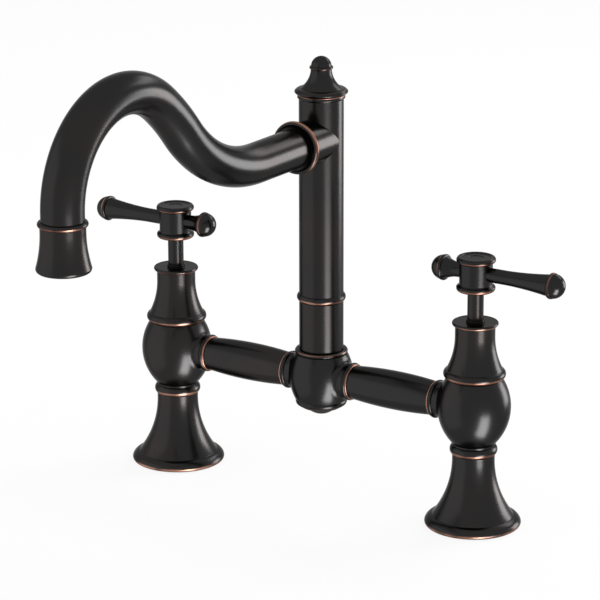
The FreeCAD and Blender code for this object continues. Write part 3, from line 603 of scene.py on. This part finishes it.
# ---- Turning column ----
# The same tube as below, which carries the spout and swings with it.

COLUMN_TOP = 232.8
column_items = [
    (COLUMN_BORE, SWING_Z), (COLUMN_R, SWING_Z), (COLUMN_R, COLUMN_TOP),
    (COLUMN_BORE, COLUMN_TOP), (COLUMN_BORE, SWING_Z)]
turned_piece("column_tube", column_items, "up", (0, 0, 0), "spout", "column_tube")


# ---- Finial ----
# A turned brass cap pressed into the top of the column: ring, flange, bell, bead and dome.

finial_items = [
    (0.0, COLUMN_TOP), (COLUMN_R, COLUMN_TOP), (COLUMN_R, 233.5, 0.1),
    run(0.25, (0.3, 0.3, 0.5)),
    (13.6, 234.6, 0.4), (13.4, 235.8, 0.3), run(0.0, (0.5, 0.85, 0.85)), (14.0, 236.5, 0.3),
    run(0.3), (15.2, 237.7, 0.4), run(0.6, (0.45, 0.35, 0.5)), (11.8, 239.4, 0.15),
    run(arc_of((11.8, 239.4), (5.9, 250.25), -14.1)), (5.9, 250.25, 0.1),
    run(0.85, (0.25, 0.9, 0.6)), (5.8, 252.15, 0.1),
    run(arc_of((5.8, 252.15), (0.0, 257.65), 5.81)), (0.0, 257.65)]
turned_piece("finial", finial_items, "up", (0, 0, 0), "spout", "finial")


# ---- Spout boss and ring ----
# A short brass socket brazed to the column takes the spout. A ring with a sunk face covers
# the joint, and its edge is the brightest copper line on the mixer.

SPOUT_Z = 210.3
boss_items = [(0.0, COLUMN_R), (12.65, COLUMN_R), (12.65, 24.4), (0.0, 24.4)]
ring_items = [
    (11.15, 24.4), (13.15, 24.4, 0.1), run(0.3, (1.0, 1.0, 1.05)), (15.1, 25.6, 0.5),
    run(0.3, (0.5, 0.9, 1.15)), (14.3, 28.0, 0.4), (13.6, 28.3, 0.3), run(-0.2),
    (11.15, 27.6), (11.15, 24.4)]
turned_piece("spout_boss", boss_items, "out", (0, 0, SPOUT_Z), "spout", "spout_boss",
             saddle=COLUMN_R)
turned_piece("spout_ring", ring_items, "out", (0, 0, SPOUT_Z), "spout", "spout_ring")


# ---- Spout tube ----
# Seven-eighths brass tube, bent on three formers: a long rise, a slack shoulder and the crook
# that turns down over the sink. Geometry Nodes sweep it along its centre line.

TUBE_R = 11.3
TUBE_START_Y = 15.0
TUBE_END_Z = 207.0
SPOUT_REACH = 239.7
RISE_BEND, SLACK_BEND, CROOK_BEND = 92.1, 142.3, 51.6
RISE_ANGLE, SLACK_ANGLE = 49.3, 11.5


def spout_line():
    """Centre line of the bent tube in millimetres, from the boss to the outlet."""
    rise, lean = math.radians(RISE_ANGLE), math.radians(RISE_ANGLE - SLACK_ANGLE)
    over = CROOK_BEND * (1 + math.sin(lean))
    shoulder = SLACK_BEND * (math.sin(rise) - math.sin(lean))
    straight = SPOUT_REACH - over - shoulder - RISE_BEND * math.sin(rise)
    here = np.array((straight, SPOUT_Z))
    line = [np.array((TUBE_START_Y, SPOUT_Z)), here]
    for bend, a, b in ((RISE_BEND, 0, rise), (SLACK_BEND, rise, lean),
                       (CROOK_BEND, lean, -math.pi / 2)):
        side = 1 if b > a else -1
        centre = here + np.array((-math.sin(a), math.cos(a))) * bend * side
        for t in np.linspace(a, b, max(8, int(abs(b - a) * bend / 1.5)))[1:]:
            line.append(centre - np.array((-math.sin(t), math.cos(t))) * bend * side)
        here = line[-1]
    line.append(np.array((SPOUT_REACH, TUBE_END_Z)))
    return [(0.0, -out, z) for out, z in line]


def sweep_tree():
    """Sweeps a round bar along the edges of the object's own mesh."""
    tree = bpy.data.node_groups.new("swept_bar", "GeometryNodeTree")
    input_socket(tree, "Geometry", "NodeSocketGeometry")
    input_socket(tree, "Radius", "NodeSocketFloat", TUBE_R * MM)
    input_socket(tree, "Sides", "NodeSocketInt", 128)
    input_socket(tree, "Material", "NodeSocketMaterial")
    tree.interface.new_socket("Geometry", in_out="OUTPUT", socket_type="NodeSocketGeometry")
    start, end = tree.nodes.new("NodeGroupInput"), tree.nodes.new("NodeGroupOutput")
    line = tree.nodes.new("GeometryNodeMeshToCurve")
    section = tree.nodes.new("GeometryNodeCurvePrimitiveCircle")
    sweep = tree.nodes.new("GeometryNodeCurveToMesh")
    sweep.inputs["Fill Caps"].default_value = True
    smooth = tree.nodes.new("GeometryNodeSetShadeSmooth")
    real = tree.nodes.new("GeometryNodeRealizeInstances")
    paint = tree.nodes.new("GeometryNodeSetMaterial")
    link(tree, start.outputs["Geometry"], line.inputs["Mesh"])
    link(tree, start.outputs["Radius"], section.inputs["Radius"])
    link(tree, start.outputs["Sides"], section.inputs["Resolution"])
    link(tree, line.outputs["Curve"], sweep.inputs["Curve"])
    link(tree, section.outputs["Curve"], sweep.inputs["Profile Curve"])
    link(tree, sweep.outputs["Mesh"], smooth.inputs["Geometry"])
    link(tree, smooth.outputs["Geometry"], real.inputs["Geometry"])
    link(tree, real.outputs["Geometry"], paint.inputs["Geometry"])
    link(tree, start.outputs["Material"], paint.inputs["Material"])
    link(tree, paint.outputs["Geometry"], end.inputs["Geometry"])
    return tree


def grow(name, mesh, tree, **values):
    """Runs a Geometry Nodes tree on a mesh with these inputs and returns a plain object."""
    piece = bpy.data.objects.new(name, mesh)
    bpy.context.scene.collection.objects.link(piece)
    modifier = piece.modifiers.new(name, "NODES")
    modifier.node_group = tree
    sockets = {s.name: s.identifier for s in tree.interface.items_tree if s.in_out == "INPUT"}
    for label, value in values.items():
        modifier[sockets[label.replace("_", " ")]] = value
    shape = piece.evaluated_get(bpy.context.evaluated_depsgraph_get())
    result = bpy.data.meshes.new_from_object(shape)
    piece.modifiers.remove(modifier)
    piece.data = result
    result.name = name
    return piece


def line_mesh(name, points):
    mesh = bpy.data.meshes.new(name)
    edges = [(i, i + 1) for i in range(len(points) - 1)]
    mesh.from_pydata([Vector(p) * MM for p in points], edges, [])
    return mesh


swept_bar = sweep_tree()
spout = grow("spout_tube", line_mesh("spout_line", spout_line()), swept_bar,
             Radius=TUBE_R * MM, Sides=128, Material=bronze)
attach(spout, "spout")
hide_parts("spout_tube")


# ---- Outlet bell ----
# A turned bell brazed over the end of the spout. The bead at its neck is rubbed on its
# underside.

bell_neck, bell_lip = (11.8, 212.0), (14.2, 194.1)
bell_items = [
    (10.15, 195.8), (12.4, 195.8), (12.4, 191.2, 0.3), (13.0, 191.2, 0.25),
    run(0.7), bell_lip + (0.8,), run(arc_of(bell_lip, bell_neck, -66.1)), bell_neck,
    (11.8, 214.9, 0.1), (11.95, 214.9, 0.1), run(1.3, (0.3, 1.0, 1.0)),
    (11.6, 217.9, 0.1), (11.1, 217.9), (11.1, TUBE_END_Z), (10.15, TUBE_END_Z), (10.15, 195.8)]
turned_piece("outlet_bell", bell_items, "up", (0, -SPOUT_REACH, 0), "spout", "outlet_bell")


# ---- Pieces that stay as the CAD has them ----
# Valve cartridges, discs, washers, seals, bushes, screws, the clip and the aerator: turned
# brass, fired ceramic, black rubber, white bearing plastic and steel.

def plain_material(name, dark, light, metallic, roughness, scale, depth):
    """Evenly grained surface between two shades."""
    material, tree, shader = new_material(name, metallic, roughness)
    surface = use_group(tree, patina, Cloud_Scale=scale, Grain_Scale=scale * 12)
    shade = blend(tree, surface.outputs["Clouds"], dark, light)
    grain = surface.outputs["Grain"]
    grainy = spread(tree, grain, 0.0, 1.0, 0.0, 0.3)
    link(tree, blend(tree, grainy, shade, dark), shader.inputs["Base Color"])
    satin = spread(tree, grain, 0.0, 1.0, roughness - 0.05, roughness + 0.08)
    link(tree, satin, shader.inputs["Roughness"])
    bump(tree, shader, grain, 0.2, depth)
    return material


brass = plain_material("turned_brass", (0.58, 0.40, 0.17), (0.78, 0.60, 0.30), 1.0, 0.32, 80.0,
                       0.00005)
rubber = plain_material("black_rubber", (0.012, 0.012, 0.012), (0.03, 0.03, 0.03), 0.0, 0.8,
                        120.0, 0.0001)
ceramic = plain_material("fired_ceramic", (0.80, 0.79, 0.75), (0.88, 0.87, 0.84), 0.0, 0.25,
                         60.0, 0.00002)
plastic = plain_material("bearing_plastic", (0.70, 0.70, 0.68), (0.82, 0.82, 0.80), 0.0, 0.5,
                         100.0, 0.00004)
steel = plain_material("bright_steel", (0.45, 0.45, 0.46), (0.60, 0.60, 0.61), 1.0, 0.3, 150.0,
                       0.00003)
carried = {
    "inlet_bush": brass, "cartridge": brass, "swivel_spigot": brass, "aerator_shell": brass,
    "foot_gasket": rubber, "seat_washer": rubber, "swivel_o_rings": rubber,
    "aerator_washer": rubber, "fixed_disc": ceramic, "moving_disc": ceramic,
    "swivel_bush": plastic, "aerator_insert": plastic, "grub_screw": steel,
    "retaining_clip": steel}
for node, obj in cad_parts.items():
    kind = node.split("_", 1)[1] if node.startswith(("left_", "right_")) else node
    if kind in carried:
        obj.data.materials.clear()
        obj.data.materials.append(carried[kind])


# ---- Studio ----
# Plain white floor and background, a soft light on the right and a smaller one high above it,
# one low in front that lights the undersides, and a broad faint one on the left. The camera
# stands where the photograph was taken from.

scene = bpy.context.scene
scene.view_settings.view_transform = "Standard"

CAMERA_PLACE = Vector((0.95207, -1.47683, 0.64796))
CAMERA_BACK = Vector((0.52409914, -0.80072035, 0.29011552))
CAMERA_AZIMUTH = math.radians(33.206)
CAMERA_ROLL = math.radians(-0.1308)


def camera_turn():
    """Rotation whose columns are the camera's right, up and back."""
    level = Vector((math.cos(CAMERA_AZIMUTH), math.sin(CAMERA_AZIMUTH), 0))
    top = CAMERA_BACK.cross(level)
    right = level * math.cos(CAMERA_ROLL) + top * math.sin(CAMERA_ROLL)
    up = top * math.cos(CAMERA_ROLL) - level * math.sin(CAMERA_ROLL)
    return Matrix((right, up, CAMERA_BACK)).transposed().to_4x4()


camera = bpy.data.objects.new("camera", bpy.data.cameras.new("camera"))
camera.data.sensor_width = 36.0
camera.data.lens = 192.92
camera.data.clip_end = 50.0
camera.matrix_world = Matrix.Translation(CAMERA_PLACE) @ camera_turn()
scene.collection.objects.link(camera)
scene.camera = camera

TARGET = Vector((0.0, -0.05, 0.12))


def soft_light(name, azimuth, elevation, distance, width, height, radiance):
    """Rectangular soft light, placed by its azimuth to the right of the camera."""
    turn_by = math.radians(-90) + CAMERA_AZIMUTH + math.radians(azimuth)
    rise = math.radians(elevation)
    way = Vector((math.cos(turn_by) * math.cos(rise), math.sin(turn_by) * math.cos(rise),
                  math.sin(rise)))
    lamp = bpy.data.lights.new(name, "AREA")
    lamp.shape = "RECTANGLE"
    lamp.size, lamp.size_y = width, height
    lamp.energy = radiance * math.pi * width * height
    obj = bpy.data.objects.new(name, lamp)
    obj.matrix_world = Matrix.Translation(TARGET + way * distance) @ (
        way.to_track_quat("Z", "Y").to_matrix().to_4x4())
    obj.visible_camera = False
    scene.collection.objects.link(obj)


soft_light("right", 115.5, 0.8, 1.25, 0.50, 0.56, 16.5)
soft_light("right_high", 136, 33, 1.3, 0.75, 0.27, 7.0)
soft_light("front_low", 34, -40.3, 2.5, 1.15, 2.1, 17.0)
soft_light("left", -80, -5, 1.5, 2.20, 2.60, 0.6)

world = bpy.data.worlds.new("studio")
scene.world = world
world.use_nodes = True
sky = world.node_tree
light_path = sky.nodes.new("ShaderNodeLightPath")
seen = calc(sky, "MAXIMUM", light_path.outputs["Is Camera Ray"],
            calc(sky, "MAXIMUM", light_path.outputs["Is Glossy Ray"],
                 light_path.outputs["Is Transmission Ray"]))
link(sky, spread(sky, seen, 0.0, 1.0, 0.80, 1.0), sky.nodes["Background"].inputs["Strength"])
sky.nodes["Background"].inputs["Color"].default_value = (1.0, 1.0, 1.0, 1.0)

FLOOR = 8.0
floor_mesh = bpy.data.meshes.new("floor")
floor_mesh.from_pydata([(-FLOOR, -FLOOR, 0), (FLOOR, -FLOOR, 0), (FLOOR, FLOOR, 0),
                        (-FLOOR, FLOOR, 0)], [], [(0, 1, 2, 3)])
floor = bpy.data.objects.new("floor", floor_mesh)
floor_material, floor_tree, floor_shader = new_material("floor_white", 0.0, 0.9)
floor_shader.inputs["Base Color"].default_value = (0.93, 0.93, 0.93, 1.0)
floor_shader.inputs["Specular IOR Level"].default_value = 0.0
seen = floor_tree.nodes.new("ShaderNodeLightPath").outputs["Is Camera Ray"]
white = floor_tree.nodes.new("ShaderNodeEmission")
mixed = floor_tree.nodes.new("ShaderNodeMixShader")
link(floor_tree, calc(floor_tree, "MULTIPLY", seen, 0.87), mixed.inputs[0])
link(floor_tree, floor_shader.outputs["BSDF"], mixed.inputs[1])
link(floor_tree, white.outputs["Emission"], mixed.inputs[2])
link(floor_tree, mixed.outputs["Shader"],
     floor_tree.nodes["Material Output"].inputs["Surface"])
floor_mesh.materials.append(floor_material)
floor.visible_glossy = False
floor.visible_shadow = False
scene.collection.objects.link(floor)
